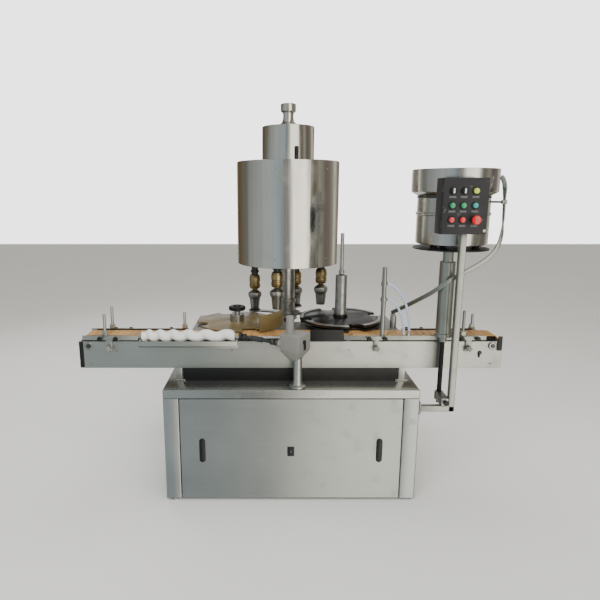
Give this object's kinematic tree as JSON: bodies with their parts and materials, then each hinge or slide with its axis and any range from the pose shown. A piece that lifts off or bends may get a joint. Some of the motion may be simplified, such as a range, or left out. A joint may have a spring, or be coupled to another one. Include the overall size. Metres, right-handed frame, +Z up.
{
  "type": "capping machine",
  "caption": "Rotary capping machine: cabinet, slat conveyor, feed screw, star wheels, spindle turret under a round head, cap sorter and control box on an arm.",
  "frame": {"origin": "centre of the machine's bounding box, on the floor", "axes": "+X along the conveyor from infeed to outfeed, +Y from the operator's side to the back, +Z up"},
  "size_m": [2.312, 1.27, 2.197],
  "materials": {
    "satin_steel": "satin brushed stainless",
    "bright_steel": "polished stainless",
    "dark_steel": "oiled dark steel",
    "brass": "polished brass",
    "phenolic": "phenolic laminate, satin",
    "black_plastic": "satin black",
    "white_plastic": "machined white plastic",
    "tan_chain": "acetal slats",
    "cast_grey": "cast, painted grey",
    "charcoal": "charcoal powder coat",
    "motor_blue": "blue grey enamel",
    "pale_tube": "translucent tube",
    "green_cap": "gloss",
    "teal_cap": "gloss",
    "red_cap": "gloss",
    "rose_cap": "gloss",
    "lamp_yellow": "gloss lens"
  },
  "bodies": {
    "root": {"base_frame": "satin_steel", "cabinet_top": "bright_steel", "left_side_panel": "satin_steel", "right_side_panel": "satin_steel", "back_panel": "satin_steel", "gear_motor": "motor_blue", "conveyor_front_plate": "satin_steel", "conveyor_back_plate": "satin_steel", "chain_bed": "white_plastic", "conveyor_chain": "tan_chain", "infeed_front_guide": "bright_steel", "infeed_back_guide": "bright_steel", "outfeed_front_guide": "bright_steel", "outfeed_back_guide": "bright_steel", "air_hose_upper": "pale_tube", "air_hose_lower": "pale_tube", "screw_bed": "bright_steel", "screw_gearbox": "cast_grey", "deck_plate": "satin_steel", "control_arm": "satin_steel", "control_box": "charcoal", "indicator_lamp": "lamp_yellow"},
    "front_door": {"front_panel": "satin_steel"},
    "lock": {"panel_lock": "black_plastic"},
    "turret": {"turret_column": "satin_steel", "bottle_spider": "satin_steel"},
    "head": {"drum_cover": "bright_steel", "upper_cover": "bright_steel", "top_cap": "bright_steel"},
    "carrier": {"spindle_carrier": "dark_steel"},
    "infeed_wheel": {"infeed_gear": "dark_steel", "infeed_star": "phenolic"},
    "star_knob": {"infeed_knob": "black_plastic"},
    "outfeed_wheel": {"outfeed_gear": "dark_steel", "outfeed_star": "black_plastic", "outfeed_post": "satin_steel"},
    "screw": {"feed_screw": "white_plastic"},
    "cardan": {"cardan_shaft": "dark_steel"},
    "drive_shaft": {"drive_sprocket": "dark_steel"},
    "idler_shaft": {"idler_sprocket": "dark_steel"},
    "sorter": {"sorter_stand": "satin_steel", "bowl_base": "bright_steel", "cap_chute": "satin_steel"},
    "bowl": {"sorter_bowl": "bright_steel"},
    "left_selector": {"selector_left": "white_plastic"},
    "right_selector": {"selector_right": "white_plastic"},
    "green_button_left_cap": {"green_button_left": "green_cap"},
    "green_button_right_cap": {"green_button_right": "green_cap"},
    "teal_button_cap": {"teal_button": "teal_cap"},
    "rose_button_cap": {"rose_button": "rose_cap"},
    "red_button_cap": {"red_button": "red_cap"},
    "emergency_stop_cap": {"emergency_stop": "red_cap"},
    "spindle_1_body": {"spindle_1": "brass"},
    "chuck_1_body": {"chuck_1": "bright_steel"},
    "spindle_2_body": {"spindle_2": "brass"},
    "chuck_2_body": {"chuck_2": "bright_steel"},
    "spindle_3_body": {"spindle_3": "brass"},
    "chuck_3_body": {"chuck_3": "bright_steel"},
    "spindle_4_body": {"spindle_4": "brass"},
    "chuck_4_body": {"chuck_4": "bright_steel"}
  },
  "joints": [
    {"name": "turret_spin", "type": "hinge", "parent": "root", "child": "turret", "pos_m": [0, 0.257, 0.9], "axis": [0, 0, 1], "continuous": true},
    {"name": "infeed_spin", "type": "hinge", "parent": "root", "child": "infeed_wheel", "pos_m": [-0.309, -0.07, 0.9], "axis": [0, 0, 1], "continuous": true},
    {"name": "outfeed_spin", "type": "hinge", "parent": "root", "child": "outfeed_wheel", "pos_m": [0.309, -0.07, 0.9], "axis": [0, 0, 1], "continuous": true},
    {"name": "screw_spin", "type": "hinge", "parent": "root", "child": "screw", "pos_m": [-0.55, -0.415, 0.915], "axis": [1, 0, 0], "continuous": true},
    {"name": "cardan_spin", "type": "hinge", "parent": "root", "child": "cardan", "pos_m": [-0.277, -0.415, 0.915], "axis": [0.9731, -0.1908, -0.1288], "continuous": true},
    {"name": "head_lift", "type": "slide", "parent": "root", "child": "head", "axis": [0, 0, 1], "range_m": [0, 0.12]},
    {"name": "carrier_spin", "type": "hinge", "parent": "head", "child": "carrier", "pos_m": [0, 0.257, 1.4], "axis": [0, 0, 1], "continuous": true},
    {"name": "spindle_lift_1", "type": "slide", "parent": "carrier", "child": "spindle_1_body", "axis": [0, 0, 1], "range_m": [-0.06, 0]},
    {"name": "chuck_spin_1", "type": "hinge", "parent": "spindle_1_body", "child": "chuck_1_body", "pos_m": [0.21399, 0.18747, 1], "axis": [0, 0, 1], "continuous": true},
    {"name": "spindle_lift_2", "type": "slide", "parent": "carrier", "child": "spindle_2_body", "axis": [0, 0, 1], "range_m": [0, 0.06]},
    {"name": "chuck_spin_2", "type": "hinge", "parent": "spindle_2_body", "child": "chuck_2_body", "pos_m": [0.06953, 0.47099, 1], "axis": [0, 0, 1], "continuous": true},
    {"name": "spindle_lift_3", "type": "slide", "parent": "carrier", "child": "spindle_3_body", "axis": [0, 0, 1], "range_m": [0, 0.06]},
    {"name": "chuck_spin_3", "type": "hinge", "parent": "spindle_3_body", "child": "chuck_3_body", "pos_m": [-0.21399, 0.32653, 1], "axis": [0, 0, 1], "continuous": true},
    {"name": "spindle_lift_4", "type": "slide", "parent": "carrier", "child": "spindle_4_body", "axis": [0, 0, 1], "range_m": [-0.06, 0]},
    {"name": "chuck_spin_4", "type": "hinge", "parent": "spindle_4_body", "child": "chuck_4_body", "pos_m": [-0.06953, 0.04301, 1], "axis": [0, 0, 1], "continuous": true},
    {"name": "drive_spin", "type": "hinge", "parent": "root", "child": "drive_shaft", "pos_m": [1.101, -0.295, 0.848], "axis": [0, 1, 0], "continuous": true},
    {"name": "idler_spin", "type": "hinge", "parent": "root", "child": "idler_shaft", "pos_m": [-1.101, -0.295, 0.848], "axis": [0, 1, 0], "continuous": true},
    {"name": "panel_slide", "type": "slide", "parent": "root", "child": "front_door", "axis": [0, -1, 0], "range_m": [0, 0.1]},
    {"name": "lock_turn", "type": "hinge", "parent": "front_door", "child": "lock", "pos_m": [0, -0.515, 0.295], "axis": [0, -1, 0], "range_deg": [0, 90]},
    {"name": "star_knob_turn", "type": "hinge", "parent": "infeed_wheel", "child": "star_knob", "pos_m": [-0.309, -0.07, 0.99], "axis": [0, 0, 1], "range_deg": [0, 180]},
    {"name": "sorter_height", "type": "slide", "parent": "root", "child": "sorter", "axis": [0, 0, 1], "range_m": [0, 0.04]},
    {"name": "bowl_swing", "type": "hinge", "parent": "sorter", "child": "bowl", "pos_m": [0.877, -0.25, 1.65], "axis": [0, 0, 1], "range_deg": [-1.5, 1.5], "stiffness_Nm_per_rad": 800},
    {"name": "selector_left_turn", "type": "hinge", "parent": "root", "child": "left_selector", "pos_m": [0.7545, -0.592, 1.675], "axis": [0, -1, 0], "range_deg": [-45, 45]},
    {"name": "selector_right_turn", "type": "hinge", "parent": "root", "child": "right_selector", "pos_m": [0.808, -0.592, 1.675], "axis": [0, -1, 0], "range_deg": [-45, 45]},
    {"name": "green_button_left_push", "type": "slide", "parent": "root", "child": "green_button_left_cap", "axis": [0, 1, 0], "range_m": [0, 0.003], "stiffness_N_per_m": 400},
    {"name": "green_button_right_push", "type": "slide", "parent": "root", "child": "green_button_right_cap", "axis": [0, 1, 0], "range_m": [0, 0.003], "stiffness_N_per_m": 400},
    {"name": "teal_button_push", "type": "slide", "parent": "root", "child": "teal_button_cap", "axis": [0, 1, 0], "range_m": [0, 0.003], "stiffness_N_per_m": 400},
    {"name": "rose_button_push", "type": "slide", "parent": "root", "child": "rose_button_cap", "axis": [0, 1, 0], "range_m": [0, 0.003], "stiffness_N_per_m": 400},
    {"name": "red_button_push", "type": "slide", "parent": "root", "child": "red_button_cap", "axis": [0, 1, 0], "range_m": [0, 0.003], "stiffness_N_per_m": 400},
    {"name": "emergency_stop_push", "type": "slide", "parent": "root", "child": "emergency_stop_cap", "axis": [0, 1, 0], "range_m": [0, 0.005], "stiffness_N_per_m": 600}
  ],
  "couplings": [
    {"joint": "infeed_spin", "follows": "turret_spin", "ratio": -1},
    {"joint": "outfeed_spin", "follows": "turret_spin", "ratio": -1},
    {"joint": "screw_spin", "follows": "turret_spin", "ratio": 4},
    {"joint": "cardan_spin", "follows": "turret_spin", "ratio": 4},
    {"joint": "carrier_spin", "follows": "turret_spin", "ratio": 1},
    {"joint": "chuck_spin_1", "follows": "turret_spin", "ratio": -5},
    {"joint": "chuck_spin_2", "follows": "turret_spin", "ratio": -5},
    {"joint": "chuck_spin_3", "follows": "turret_spin", "ratio": -5},
    {"joint": "chuck_spin_4", "follows": "turret_spin", "ratio": -5},
    {"joint": "idler_spin", "follows": "drive_spin", "ratio": 1}
  ]
}
